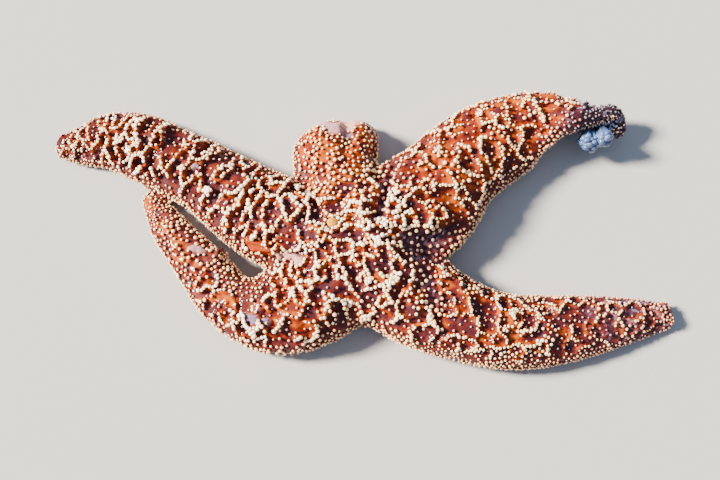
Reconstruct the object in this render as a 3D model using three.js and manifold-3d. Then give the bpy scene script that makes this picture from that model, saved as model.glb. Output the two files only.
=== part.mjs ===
// Ochre sea star, Pisaster ochraceus: a life-size five-armed body in millimetres, +Z up.
// The flat underside lies on z = 0 and the origin is the middle of the footprint.
// The solids reach out to the tips of the short spines that cover the living skin.
import * as THREE from "three";
import { mergeVertices } from "three/addons/utils/BufferGeometryUtils.js";
import Module from "manifold-3d";

// ---------------------------------------------------------------- driving dimensions

const SEAM = 0.3; // gap between neighbouring pieces
const CENTRE = [4, -13.8]; // middle of the disc, where the five arms meet
const DISC = { radius: 39, height: 33, footRadius: 32, rings: 6, sides: 30 };

// Section of an arm: where it is widest, as a share of its height, and how flat it lies.
const WIDEST_LEVEL = 0.34;
const UNDER_SQUARENESS = 0.62; // a smaller power makes the underside's corners squarer
const UNDER_FLATTENING = 1.16; // the rounded underside is cut off level by this overshoot
const CROWN_FULLNESS = 0.92; // a power under 1 fills out the shoulders of the crown
const TIP_LEVEL = 0.4; // the rounded tip shrinks towards this level, as a share of the height

// The open ambulacral groove under each arm. It has its full width where the arm is at least
// fullAt wide, narrows with it down to leastShare, and never takes more of the arm's height than
// heightShare. Its walls stand straight up to the share bend and then lean in by as much.
const GROOVE = { width: 9, depth: 6.5, fullAt: 30, leastShare: 0.5, heightShare: 0.42, bend: 0.55 };
const CUT_BELOW = -1; // cutters start this far under the floor
// The band of tube feet that fills the groove, from start (measured from the centre) to end
// (measured back from the groove's end).
const FEET = { gap: 0.6, floorGap: 0.4, start: 12.5, end: 2 };
// Clumps of tube feet that hang out of the raised tip: drop is how far below the underside.
const CLUMPS = [
  { share: 0.865, radius: 5, drop: 6.5 },
  { share: 0.905, radius: 4, drop: 7 },
];
const STALK_SHARE = 0.01; // half the length of a clump's stalk, as a share of the arm
// The round buttons: the ring of jaws in the mouth, and the sieve plate on the disc's back.
const MOUTH = { radius: 9, foot: 0.6, waist: 3, top: 6, sides: 20, at: CENTRE };
const MADREPORITE = { radius: 2.2, foot: 27, waist: 31.4, top: 32.5, sides: 12, at: [-11, -6.3] };
const BUTTON_FOOT = 0.8; // radius of a button's foot and of its flat top, as shares of its radius
const BUTTON_TOP = 0.6;

const RING_POINTS = 20; // points round a section
const STATION_STEP = 7.5; // millimetres between sections
const TIP_STATIONS = 4; // extra sections that round off the tip
const TIP_TURN = 0.94; // share of the quarter circle that they follow before the flat end

// Each arm: the route of its middle line in plan, from the disc's middle to the tip, then its
// full width and its height at even shares of the way, and where it is parted into lengths.
// lift raises the underside off the floor and roll (degrees) turns the section, both at the same
// even shares. tipLength is the stretch over which the end is rounded off. An arm that yieldsTo
// another is cut back by its clearance where the two lie close, and lobe names its second end.
const ARMS = {
  a: {
    route: [
      CENTRE, [-39, 1.2], [-57, 12.7], [-77, 26.2], [-98, 37.2],
      [-112, 43.7], [-124, 46.2], [-139, 44.2], [-153, 43.2],
    ],
    width: [50, 50, 48, 44, 38, 35.5, 36, 28, 13],
    height: [33, 32, 29, 26, 23.5, 21.5, 19, 14, 9],
    partings: [0.34, 0.66],
    tipLength: 6,
  },
  b: {
    route: [
      CENTRE, [-22, -38.8], [-46, -43.8], [-60.5, -38.8], [-72.5, -24.6],
      [-84, -11], [-93, 0], [-99, 9.4], [-103.5, 18.8],
    ],
    width: [50, 50, 47, 43, 30, 27, 22, 17.5, 9],
    height: [33, 31, 28, 24, 21, 18, 15.5, 12.5, 8],
    partings: [0.42, 0.68],
    tipLength: 5,
    yieldsTo: "a",
    clearance: 2,
  },
  c: {
    route: [CENTRE, [-6, 12.2], [-11, 32.2], [-16, 55.7]],
    width: [46, 46, 44, 43, 39, 31],
    height: [33, 31, 28, 26, 24, 20],
    partings: [0.6],
    tipLength: 13,
    lobe: "bud",
  },
  d: {
    route: [
      CENTRE, [34, 11.2], [52, 31.2], [71, 44.7], [88, 51.7],
      [101, 51.2], [112, 48.2], [123.5, 48.7], [137, 53.2],
    ],
    width: [50, 57, 57, 49, 47, 43, 34, 21, 20],
    height: [33, 32, 30, 28, 26, 24, 20, 15.5, 12],
    lift: [0, 0, 0, 0, 0, 0, 0, 2.5, 3],
    roll: [0, 0, 0, 0, 0, 0, 25, 95, 150],
    partings: [0.36, 0.66],
    tipLength: 7,
  },
  e: {
    route: [
      CENTRE, [31, -38.8], [51, -48.3], [64, -52.3], [77, -53.8],
      [91, -52.8], [106, -50.8], [130, -47.3], [153, -44.3],
    ],
    width: [50, 52, 47, 40.5, 37.5, 35, 30, 22, 13.5],
    height: [33, 32, 29, 26, 23, 20, 16.5, 12.5, 8],
    partings: [0.36, 0.66],
    tipLength: 5,
  },
};

// Arm c is a stub that is growing again with a forked end: this is the fork's smaller lobe.
const BUD = {
  route: [[-3, 31.2], [0, 43.2], [2.5, 56.2]],
  width: [26, 25, 22, 19],
  height: [24, 23, 21, 18],
  tipLength: 9,
};
const LIMBS = { ...ARMS, bud: BUD };

// ---------------------------------------------------------------- joining and cutting

const wasm = await Module();
wasm.setup();

// A closed geometry as a manifold-3d solid.
function solidOf(geometry) {
  const bare = geometry.clone();
  bare.deleteAttribute("normal");
  bare.deleteAttribute("uv");
  const merged = mergeVertices(bare, 1e-4);
  return new wasm.Manifold(
    new wasm.Mesh({
      numProp: 3,
      vertProperties: merged.attributes.position.array,
      triVerts: new Uint32Array(merged.index.array),
    }),
  );
}

// A manifold-3d solid as a three.js geometry.
function geometryOf(solid) {
  const mesh = solid.getMesh();
  const geometry = new THREE.BufferGeometry();
  geometry.setAttribute("position", new THREE.BufferAttribute(mesh.vertProperties, 3));
  geometry.setIndex(new THREE.BufferAttribute(mesh.triVerts, 1));
  geometry.computeVertexNormals();
  return geometry;
}

// ---------------------------------------------------------------- sections and lofts

// Value of a profile given at even shares of the way, on a smooth curve through its values.
function along(profile, share) {
  const curve = new THREE.SplineCurve(profile.map((value, i) => new THREE.Vector2(i, value)));
  return curve.getPoint(share).y;
}

// A lathe turned upright, so that its axis is Z.
function upright(profile, segments) {
  return new THREE.LatheGeometry(profile, segments).rotateX(Math.PI / 2);
}

const routes = {};
for (const [key, arm] of Object.entries(LIMBS)) {
  const points = arm.route.map(([x, y]) => new THREE.Vector3(x, y, 0));
  routes[key] = new THREE.CatmullRomCurve3(points, false, "centripetal");
}

// Share of the way at which the rounding of the tip begins; the groove ends there too.
function tipStart(key) {
  return 1 - LIMBS[key].tipLength / routes[key].getLength();
}

// How much of its full size a section keeps near the rounded tip.
function tipScale(key, share) {
  const start = tipStart(key);
  return share <= start ? 1 : Math.sqrt(1 - ((share - start) / (1 - start)) ** 2);
}

// Outline of the loaf-shaped section as [across, up] pairs, anticlockwise seen from the tip.
function loaf(width, height, scale) {
  const middle = TIP_LEVEL * height;
  return Array.from({ length: RING_POINTS }, (_, i) => {
    const angle = (2 * Math.PI * i) / RING_POINTS;
    const c = Math.cos(angle);
    const s = Math.sin(angle);
    let across = c;
    let up = WIDEST_LEVEL + (1 - WIDEST_LEVEL) * Math.abs(s) ** CROWN_FULLNESS;
    if (s < 0) {
      across = Math.sign(c) * Math.abs(c) ** UNDER_SQUARENESS;
      up = Math.max(0, WIDEST_LEVEL * (1 - UNDER_FLATTENING * Math.abs(s) ** UNDER_SQUARENESS));
    }
    return [(across * width * scale) / 2, middle + (up * height - middle) * scale];
  });
}

// Where a section stands: its origin, its across and up directions.
function stance(key, share) {
  const arm = LIMBS[key];
  const origin = routes[key].getPointAt(share);
  const ahead = routes[key].getTangentAt(share);
  const width = along(arm.width, share);
  const height = along(arm.height, share);
  const lift = arm.lift ? Math.max(0, along(arm.lift, share)) : 0;
  const roll = arm.roll ? THREE.MathUtils.degToRad(Math.max(0, along(arm.roll, share))) : 0;
  const up = new THREE.Vector3(0, 0, 1).applyAxisAngle(ahead, -roll);
  const across = up.clone().cross(ahead);
  const lowest = Math.min(...loaf(width, height, 1).map(([a, u]) => a * across.z + u * up.z));
  origin.z = lift - lowest;
  return { origin, across, up, width, height, scale: tipScale(key, share) };
}

// Points of an outline set into its stance.
function placed({ origin, across, up }, outline) {
  return outline.map(([a, u]) => origin.clone().addScaledVector(across, a).addScaledVector(up, u));
}

// A closed solid through rings of equally many points, with a flat or pointed end at each side.
function loft(rings) {
  const count = rings[0].length;
  const positions = rings.flat();
  const middle = (ring) => ring.reduce((sum, p) => sum.add(p), new THREE.Vector3()).divideScalar(count);
  const first = positions.push(middle(rings[0])) - 1;
  const last = positions.push(middle(rings.at(-1))) - 1;
  const faces = [];
  const lastRing = (rings.length - 1) * count;
  for (let i = 0; i < count; i++) {
    const next = (i + 1) % count;
    faces.push(first, next, i, last, lastRing + i, lastRing + next);
    for (let ring = 0; ring < lastRing; ring += count) {
      faces.push(ring + i, ring + next, ring + count + next);
      faces.push(ring + i, ring + count + next, ring + count + i);
    }
  }
  const geometry = new THREE.BufferGeometry().setFromPoints(positions);
  geometry.setIndex(faces);
  return geometry;
}

// Even shares from one to another, with the rounded tip's own closer shares where it is reached.
function stations(key, from, to) {
  const start = tipStart(key);
  const end = Math.min(to, start);
  const steps = Math.max(1, Math.ceil(((end - from) * routes[key].getLength()) / STATION_STEP));
  const shares = Array.from({ length: steps + 1 }, (_, i) => from + ((end - from) * i) / steps);
  if (to <= start) return shares;
  for (let i = 1; i <= TIP_STATIONS; i++) {
    const turned = (TIP_TURN * Math.PI * i) / (2 * TIP_STATIONS);
    shares.push(start + (1 - start) * Math.sin(turned));
  }
  return shares;
}

// One length of an arm, or the room that it needs when grown by a gap.
function armLength(key, from, to, gap = 0) {
  const rings = stations(key, from, to).map((share) => {
    const at = stance(key, share);
    const outline = loaf(at.width + 2 * gap, at.height + 2 * gap, at.scale);
    return placed(at, outline.map(([across, up]) => [across, up - gap]));
  });
  return loft(rings);
}

// Section of the groove, or of what fills it when it is drawn in from the walls by a gap.
function channel(at, floor, gap) {
  const { width, depth, fullAt, leastShare, heightShare, bend } = GROOVE;
  const half = (width * THREE.MathUtils.clamp(at.width / fullAt, leastShare, 1)) / 2 - gap;
  const roof = Math.min(depth, heightShare * at.height) - gap;
  return placed(at, [
    [half, floor],
    [half, bend * roof],
    [bend * half, roof],
    [-bend * half, roof],
    [-half, bend * roof],
    [-half, floor],
  ]);
}

function channelAlong(key, from, to, floor, gap) {
  return loft(stations(key, from, to).map((share) => channel(stance(key, share), floor, gap)));
}

// ---------------------------------------------------------------- the pieces

const FLESH = new THREE.MeshStandardMaterial({ color: 0xc8552c, roughness: 0.5, metalness: 0 });
const PALE = new THREE.MeshStandardMaterial({ color: 0xd9d3c4, roughness: 0.45, metalness: 0 });
const SIEVE = new THREE.MeshStandardMaterial({ color: 0xf0c873, roughness: 0.6, metalness: 0 });

const model = new THREE.Group();

function addPiece(name, solid, material) {
  const mesh = new THREE.Mesh(geometryOf(solid), material);
  mesh.name = name;
  model.add(mesh);
}

// The domed disc: half of a loaf-shaped section, turned about the disc's middle.
function discDome() {
  const { radius, height, footRadius, rings, sides } = DISC;
  const widest = WIDEST_LEVEL * height;
  const profile = [new THREE.Vector2(0, 0), new THREE.Vector2(footRadius, 0)];
  for (let i = 0; i <= rings; i++) {
    const angle = (Math.PI * i) / (2 * rings);
    const out = i === rings ? 0 : radius * Math.cos(angle);
    profile.push(new THREE.Vector2(out, widest + (height - widest) * Math.sin(angle)));
  }
  return upright(profile, sides).translate(...CENTRE, 0);
}

// A round button with a waist and a flat top, or the socket that it sits in when grown by a gap.
function button({ radius, foot, waist, top, sides, at }, gap) {
  const profile = [
    new THREE.Vector2(0, foot - gap),
    new THREE.Vector2(BUTTON_FOOT * radius + gap, foot - gap),
    new THREE.Vector2(radius + gap, waist),
    new THREE.Vector2(BUTTON_TOP * radius + gap, top + gap),
    new THREE.Vector2(0, top + gap),
  ];
  return solidOf(upright(profile, sides).translate(...at, 0));
}

// Tube feet in the groove of one arm; the raised tip lets a clump of them hang out.
function tubeFeet(key) {
  const length = routes[key].getLength();
  const end = tipStart(key) - FEET.end / length;
  let band = solidOf(channelAlong(key, FEET.start / length, end, FEET.floorGap, FEET.gap));
  if (!ARMS[key].lift) return band;
  const [, outerParting] = ARMS[key].partings;
  const room = solidOf(armLength(key, outerParting, 1, SEAM));
  for (const { share, radius, drop } of CLUMPS) {
    const [from, to] = [share - STALK_SHARE, share + STALK_SHARE];
    const stalk = solidOf(channelAlong(key, from, to, radius / 2 - drop, FEET.gap));
    const [spot] = placed(stance(key, share), [[0, -drop]]);
    const ball = new THREE.IcosahedronGeometry(radius, 1).translate(spot.x, spot.y, spot.z);
    band = band.add(solidOf(ball).subtract(room)).add(stalk);
  }
  return band;
}

const grooves = {};
let disc = solidOf(discDome());
for (const [key, arm] of Object.entries(ARMS)) {
  grooves[key] = solidOf(channelAlong(key, 0, tipStart(key), CUT_BELOW, 0));
  disc = disc.add(solidOf(armLength(key, 0, arm.partings[0])));
}
for (const [key, { partings, lobe }] of Object.entries(ARMS)) {
  disc = disc.subtract(solidOf(armLength(key, partings[0], 1, SEAM))).subtract(grooves[key]);
  if (lobe) disc = disc.subtract(solidOf(armLength(lobe, 0, 1, SEAM)));
}
const mouthHollow = button({ ...MOUTH, foot: CUT_BELOW }, SEAM);
addPiece("disc", disc.subtract(mouthHollow).subtract(button(MADREPORITE, SEAM)), FLESH);
addPiece("mouth", button(MOUTH, 0), PALE);
addPiece("madreporite", button(MADREPORITE, 0), SIEVE);

const LENGTH_NAMES = ["_near", "_far"];
for (const [key, { partings, yieldsTo, clearance, lobe }] of Object.entries(ARMS)) {
  const seam = SEAM / routes[key].getLength();
  partings.forEach((parting, i) => {
    const end = i + 1 < partings.length ? partings[i + 1] : 1;
    let flesh = solidOf(armLength(key, parting + seam, end));
    if (yieldsTo) flesh = flesh.subtract(solidOf(armLength(yieldsTo, 0, 1, clearance)));
    if (lobe) flesh = flesh.add(solidOf(armLength(lobe, 0, 1)));
    const suffix = partings.length > 1 ? LENGTH_NAMES[i] : "";
    addPiece(`arm_${key}${suffix}`, flesh.subtract(grooves[key]), FLESH);
  });
  addPiece(`tube_feet_${key}`, tubeFeet(key), PALE);
}

export default model;
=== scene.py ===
import math

import bmesh
import bpy
import numpy as np
from mathutils import Matrix, Vector, noise
from mathutils.bvhtree import BVHTree


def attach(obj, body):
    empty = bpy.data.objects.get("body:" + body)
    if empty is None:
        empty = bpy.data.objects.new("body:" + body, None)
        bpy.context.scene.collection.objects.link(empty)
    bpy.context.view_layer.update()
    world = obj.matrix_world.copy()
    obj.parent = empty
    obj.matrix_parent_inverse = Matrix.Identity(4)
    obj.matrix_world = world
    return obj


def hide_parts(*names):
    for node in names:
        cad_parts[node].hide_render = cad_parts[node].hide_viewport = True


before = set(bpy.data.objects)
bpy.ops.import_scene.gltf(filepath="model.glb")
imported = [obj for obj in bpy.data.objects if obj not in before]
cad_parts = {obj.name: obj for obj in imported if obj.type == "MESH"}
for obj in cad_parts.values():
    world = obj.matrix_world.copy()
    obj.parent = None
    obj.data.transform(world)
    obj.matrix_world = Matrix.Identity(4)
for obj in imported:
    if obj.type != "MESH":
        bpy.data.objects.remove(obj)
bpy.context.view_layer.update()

MM = 0.001
random = np.random.default_rng(1868)

# ---------------------------------------------------------------- driving sizes, in millimetres

CENTRE = (4, -13.8)  # middle of the disc
CROWN = 33  # height of the disc
WIDEST_LEVEL = 0.34  # share of an arm's height at which it is widest
TOP_POWER = 0.92  # of an arm's section: nearly round above that level
UNDER_POWER = 0.62  # and squarer below it
FLATNESS = 1.16  # how far its underside would reach below the floor, if it weren't cut flat
SECTION_POINTS = 20

# The arms as the frame holds them: middle line in plan, then full width and height at even
# shares of the way; lift raises the underside and roll (degrees) turns the section.
LIMBS = {
    "a": dict(
        route=[CENTRE, (-39, 1.2), (-57, 12.7), (-77, 26.2), (-98, 37.2),
               (-112, 43.7), (-124, 46.2), (-139, 44.2), (-153, 43.2)],
        width=[50, 50, 48, 44, 38, 35.5, 36, 28, 13],
        height=[33, 32, 29, 26, 23.5, 21.5, 19, 14, 9],
    ),
    "b": dict(
        route=[CENTRE, (-22, -38.8), (-46, -43.8), (-60.5, -38.8), (-72.5, -24.6),
               (-84, -11), (-93, 0), (-99, 9.4), (-103.5, 18.8)],
        width=[50, 50, 47, 43, 30, 27, 22, 17.5, 9],
        height=[33, 31, 28, 24, 21, 18, 15.5, 12.5, 8],
    ),
    "c": dict(
        route=[CENTRE, (-6, 12.2), (-11, 32.2), (-16, 55.7)],
        width=[46, 46, 44, 43, 39, 31],
        height=[33, 31, 28, 26, 24, 20],
    ),
    "d": dict(
        route=[CENTRE, (34, 11.2), (52, 31.2), (71, 44.7), (88, 51.7),
               (101, 51.2), (112, 48.2), (123.5, 48.7), (137, 53.2)],
        width=[50, 57, 57, 49, 47, 43, 34, 21, 20],
        height=[33, 32, 30, 28, 26, 24, 20, 15.5, 12],
        lift=[0, 0, 0, 0, 0, 0, 0, 2.5, 3],
        roll=[0, 0, 0, 0, 0, 0, 25, 95, 150],
    ),
    "e": dict(
        route=[CENTRE, (31, -38.8), (51, -48.3), (64, -52.3), (77, -53.8),
               (91, -52.8), (106, -50.8), (130, -47.3), (153, -44.3)],
        width=[50, 52, 47, 40.5, 37.5, 35, 30, 22, 13.5],
        height=[33, 32, 29, 26, 23, 20, 16.5, 12.5, 8],
    ),
    "lobe": dict(
        route=[(-3, 31.2), (0, 43.2), (2.5, 56.2)],
        width=[26, 25, 22, 19],
        height=[24, 23, 21, 18],
    ),
}
FLESH = [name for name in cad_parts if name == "disc" or name.startswith("arm_")]

VOXEL = 0.98  # size of the skin's mesh
WELD = 0.01  # corners closer than this are one
SWELL = 0.35  # the flesh nodes grow by this much, so that their thin gaps close
RELAXING = 24  # rounds that even out the skin's mesh
APART = 2.0  # arms that lie against each other keep this much air between their skins
LOWEST = 0.3  # the skin stays this far above the floor
JUST_OFF = 0.05  # and the small pieces this far; spines end this far inside the flesh nodes
SPINE_RISE = 1.75  # the skin on a ridge lies this far inside the tips of the spines
# The net on the disc and on each arm: spacing of its soft cells along the arm and across it,
# how deep they sink, how orange their floors are (their darker floors are partly painted shade),
# and how large and how pale its spines are.
NET_ON_DISC = (6.4, 6.4, 2.2, 0.12, 1.06, 0.97)
NETS = dict(a=(6.4, 14.5, 3.0, 0.22, 1.07, 1), b=(7, 11, 2.3, 0.35, 1.03, 0.95),
            c=(8, 9, 1.6, 0.6, 0.96, 0.8), d=(8.5, 12, 2.4, 0.5, 1.06, 0.78),
            e=(9.5, 12, 2.4, 0.15, 1.04, 0.88), lobe=(8, 9, 1.6, 0.4, 0.96, 0.75))
MERGED_CELLS = 0.24  # share of the ridges that are missing
WIDEST_CELL = 30  # no point belongs to a cell whose middle is farther off than this
# How far the net's rows wander, over what distance, and the seeds of the three directions.
WANDERING = [(2.6, 9, (1, 2, 3)), (0.9, 2.6, (7, 8, 9))]
HEAD_RADIUS = 0.87  # of a full-size spine
# The back's spines by place: on a ridge of the net, in its soft cells, on the flanks, and where
# the net fades out to an even cover (on the stub, on arm b and in the hollows). Their spacing,
# their size as a share of the full one, and how pale the dullest and the palest are. The duller
# spines in the cells and on the flanks are partly their own colour, partly painted shade.
SPINES = dict(ridge=dict(spacing=1.25, size=1, least=0.45, most=1),
              cell=dict(spacing=3.0, size=0.7, least=0.15, most=0.45),
              flank=dict(spacing=2.0, size=0.8, least=0.3, most=0.65),
              even=dict(spacing=2.5, size=1.02, least=0.3, most=0.8))
EDGE_ROWS = (-2, -17, -32, -46, -58, -68, -76)  # degrees below an arm's widest line
PAINTED_SHADE_SPAN = (0.76, 0.84)  # shares of arm d's length between which its skin is painted dark maroon, as painted shade
BARE = 0.35  # no spine stands where a fold's share is larger than this
OPEN_FOLD = 0.88  # the most mauve folds, above this, carry spines all the same

# Sunken places between the arms, in plan: the two ends, then the half width and how deep the
# skin is let in, each at both ends.
FURROWS = [
    ((9.5, -1), (12, 3), 4, 4, 8, 8),  # the pit and the deep cleft between arms c and d
    ((11, 1), (13, 17.7), 5, 5.5, 5.5, 6),
    ((13, 17.7), (15.8, 36), 5.5, 8.5, 6, 6.5),
    ((17, -11), (30, -16), 6, 10, 2.5, 5),  # the broad hollow between arms d and e
    ((30, -16), (48, -15), 10, 14, 5, 6),
    ((30, -14), (38, -46), 13, 13, 4, 3),  # the saddle across arm e's root
    ((-26, -21), (-38, -22.5), 3, 4, 1.5, 2.2),
    ((-38, -22.5), (-54, -22.5), 4, 5, 2.2, 2.6),
    ((-18, 5), (-29, 25), 3.5, 6, 1.2, 3),
    ((-2.5, -43), (-5, -54), 4, 7, 1, 3),
    ((-6, 26), (-4.4, 39), 2.5, 3.5, 0.6, 1.4),  # the crease between arm c's two lobes
    ((-4.4, 39), (-4.5, 50), 3.5, 4, 1.4, 2.2),
]
# Soft folds of skin without spines: the two ends, the half width, and the colour's place
# between orange (0), pinkish white (0.5) and mauve (1); the mauve is painted shade with painted
# bluish glints.
FOLDS = [
    ((-52, -14, 21), (-42, -19.5, 20.6), 2.8, 0.0),
    ((-41, -20.4, 20.6), (-27, -23.5, 25), 1.8, 0.45),
    ((-80, -13, 15.4), (-73, -15, 15), 1.6, 0.6),
    ((-54, -49, 21), (-41, -52.5, 22.2), 1.7, 0.9),
    ((-80, 27, 22.6), (-78, 26.4, 22.8), 1.4, 0.75),
    ((-25, 50, 12), (-18, 54, 12.5), 4.2, 0.5),  # the bare rim of the short arm c
    ((-18, 52.5, 14.5), (-9.5, 47, 21), 4.2, 0.7),
    ((-9.5, 47, 21), (-5.5, 44.5, 22), 2.4, 0.85),
    ((-5, 51.5, 17), (4, 55, 13), 5, 0.45),
    ((4, 55, 13), (11, 49, 12), 3.4, 0.6),
    ((110, 57, 18), (121, 53, 17), 2.6, 1.0),
    ((107, 45, 12), (114, 50, 17), 2.4, 1.0),
    ((-28, 28, 19), (-28, 35, 19), 2.0, 0.0),
]

# The groove under each arm, and its tube feet: rows on each side of its middle line.
GROOVE_WIDTH = 9
GROOVE_DEPTH = 6.5
FULL_WIDTH = 30  # arms narrower than this have a narrower groove
FOOT_ROWS = (-3.2, -1.3, 1.3, 3.2)
FOOT_SPACING = 2.3
# Clumps of tube feet that hang out of the raised tip of arm d.
CLUMPS = [dict(share=0.865, radius=5, drop=6.5), dict(share=0.905, radius=4, drop=7)]

MADREPORITE = (-11, -6.5, 31)  # middle of the sieve plate
PLATE_RADIUS = 2.5
PLATE_RISE = 0.95
JAWS = [math.radians(corner + side * 13)  # two at each corner of the mouth, between the arms
        for corner in (75, 136, 192, 270, 358) for side in (-1, 1)]
PATCH = 0.003  # side of the square that a copy of a small shape has on the bake's map

# ---------------------------------------------------------------- small helpers


def linear(code):
    """A colour written as an sRGB hex code, as the linear RGBA that shaders take."""
    parts = [int(code[i:i + 2], 16) / 255 for i in (1, 3, 5)]
    return [c / 12.92 if c <= 0.04045 else ((c + 0.055) / 1.055) ** 2.4 for c in parts] + [1]


def ease(low, high, value):
    """A smooth step from 0 at low to 1 at high; low may be the larger."""
    share = np.clip((value - low) / (high - low), 0, 1)
    return share * share * (3 - 2 * share)


def unit(vectors):
    """Vectors of length 1 that point the same way."""
    return vectors / np.maximum(np.linalg.norm(vectors, axis=-1, keepdims=True), 1e-12)


def noise_at(points, size, seed):
    """Smooth noise of about -1 to 1 at points in millimetres, with features of that size."""
    shift = Vector((seed * 17.3, seed * 5.1, seed * 9.7))
    return np.array([noise.noise(Vector(p) / size + shift) for p in points])


def smooth_line(points, steps):
    """Points at even distances along a centripetal Catmull-Rom curve through the given ones."""
    p = np.asarray(points, float)
    p = np.vstack([2 * p[0] - p[1], p, 2 * p[-1] - p[-2]])
    fine = []
    for a, b, c, d in zip(p[:-3], p[1:-2], p[2:-1], p[3:]):
        knots = np.cumsum([0] + [np.linalg.norm(v) ** 0.5 for v in (b - a, c - b, d - c)])
        t = np.linspace(knots[1], knots[2], 40, endpoint=False)[:, None]

        def between(one, two, i, j):
            return ((knots[j] - t) * one + (t - knots[i]) * two) / (knots[j] - knots[i])

        ab, bc, cd = between(a, b, 0, 1), between(b, c, 1, 2), between(c, d, 2, 3)
        fine.append(between(between(ab, bc, 0, 2), between(bc, cd, 1, 3), 1, 2))
    fine = np.vstack(fine + [p[-2:-1]])
    way = np.concatenate([[0], np.cumsum(np.linalg.norm(np.diff(fine, axis=0), axis=1))])
    even = np.linspace(0, way[-1], steps)
    return np.stack([np.interp(even, way, fine[:, i]) for i in range(p.shape[1])], 1), even


def put(tree, kind, inputs=None, stops=None, out=0, **settings):
    """Adds a node with its settings, and returns the output to link from. An input is given a
    value or another node's output; stops are the positions and hex colours of a ramp."""
    node = tree.nodes.new(kind)
    for name, value in settings.items():
        setattr(node, name, value)
    for name, value in (inputs or {}).items():
        if isinstance(value, bpy.types.NodeSocket):
            tree.links.new(value, node.inputs[name])
        else:
            node.inputs[name].default_value = value
    for i, (position, colour) in enumerate(stops or []):
        ramp = node.color_ramp.elements
        element = ramp[i] if i < 2 else ramp.new(position)
        element.position = position
        element.color = linear(colour)
    return node.outputs[out] if node.outputs else None


def read(items, name, width, kind=float):
    """One value of each of a mesh's vertices, edges or loops, as the rows of an array."""
    out = np.empty(len(items) * width, kind)
    items.foreach_get(name, out)
    return out.reshape(-1, width)


def store(mesh, name, values):
    """Keeps a number for each vertex, for a material to read."""
    layer = mesh.attributes.new(name, "FLOAT", "POINT")
    layer.data.foreach_set("value", values.astype(np.float32))


def add_object(name, data):
    """Puts a mesh, a light or a camera in the scene as an object."""
    thing = bpy.data.objects.new(name, data)
    bpy.context.scene.collection.objects.link(thing)
    return thing


def add_bmesh(name, bm):
    """The same for a finished bmesh, with smooth shading."""
    mesh = bpy.data.meshes.new(name)
    bm.to_mesh(mesh)
    bm.free()
    mesh.shade_smooth()
    return add_object(name, mesh)


def lathe(profile, sides, size=1.0):
    """A bmesh spun round the Z axis from a profile of (radius, height), which ends on the
    axis."""
    bm = bmesh.new()
    chain = [bm.verts.new((radius * size, 0, height * size)) for radius, height in profile]
    edges = [bm.edges.new(pair) for pair in zip(chain[:-1], chain[1:])]
    bmesh.ops.spin(bm, geom=chain + edges, cent=(0, 0, 0), axis=(0, 0, 1), angle=2 * math.pi,
                   steps=sides, use_merge=True)
    bmesh.ops.remove_doubles(bm, verts=bm.verts, dist=0.005 * size)
    bmesh.ops.recalc_face_normals(bm, faces=bm.faces)
    return bm


# ---------------------------------------------------------------- the arms' own coordinates


def loaf(width, height):
    """Outline of an arm's section as (across, up), for finding its lowest point."""
    angle = 2 * math.pi * np.arange(SECTION_POINTS) / SECTION_POINTS
    c, s = np.cos(angle), np.sin(angle)
    top = WIDEST_LEVEL + (1 - WIDEST_LEVEL) * np.abs(s) ** TOP_POWER
    under = np.maximum(0, WIDEST_LEVEL * (1 - FLATNESS * np.abs(s) ** UNDER_POWER))
    across = np.where(s < 0, np.sign(c) * np.abs(c) ** UNDER_POWER, c)
    return across * width / 2, np.where(s < 0, under, top) * height


class Limb:
    """An arm's middle line, with its section's directions and size at each millimetre."""

    def __init__(self, route, width, height, lift=(0, 0), roll=(0, 0)):
        length = smooth_line(route, 2)[1][-1]
        steps = int(length) + 1
        line, self.way = smooth_line(route, steps)
        share = self.way / length

        def along(values):
            """A smooth curve through values at even shares of the way, read at each station."""
            last = len(values) - 1
            knot = np.minimum((share * last).astype(int), last - 1)
            t = share * last - knot
            v0, v1, v2, v3 = (np.array(values, float)[np.clip(knot + k, 0, last)]
                              for k in (-1, 0, 1, 2))
            out, into = (v2 - v0) / 2, (v3 - v1) / 2
            cubic = 2 * (v1 - v2) + out + into
            square = 3 * (v2 - v1) - 2 * out - into
            return ((cubic * t + square) * t + out) * t + v1

        self.length = length
        self.share = share
        self.to_end = length - self.way
        self.width, self.height = along(width), along(height)
        turn = np.radians(np.maximum(0, along(roll)))
        ahead = np.gradient(line, axis=0)
        self.ahead = unit(np.column_stack([ahead, np.zeros(steps)]))
        side = np.cross([0, 0, 1], self.ahead)
        self.up = np.cos(turn)[:, None] * np.array([0, 0, 1]) + np.sin(turn)[:, None] * side
        self.across = np.cross(self.up, self.ahead)
        lowest = []
        for i in range(steps):
            a, u = loaf(self.width[i], self.height[i])
            lowest.append(min(a * self.across[i, 2] + u * self.up[i, 2]))
        self.base = np.column_stack([line, np.maximum(0, along(lift)) - lowest])
        self.middle = self.base + self.up * (WIDEST_LEVEL * self.height)[:, None]

    def nearest(self, points):
        """Index of the nearest station on the middle line for each point."""
        best = np.empty(len(points), int)
        at_once = 20000
        for start in range(0, len(points), at_once):
            block = points[start:start + at_once]
            squares = (block ** 2).sum(1)[:, None]
            gaps = squares - 2 * block @ self.middle.T + (self.middle ** 2).sum(1)
            best[start:start + at_once] = gaps.argmin(1)
        return best

    def narrowing(self, i):
        """Width of the groove at a station, as a share of its full width."""
        return min(1, max(0.5, self.width[i] / FULL_WIDTH))


limbs = {key: Limb(**sizes) for key, sizes in LIMBS.items()}
KEYS = list(limbs)
ARMS = "abcde"
STUB = [KEYS.index("c"), KEYS.index("lobe")]


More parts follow.
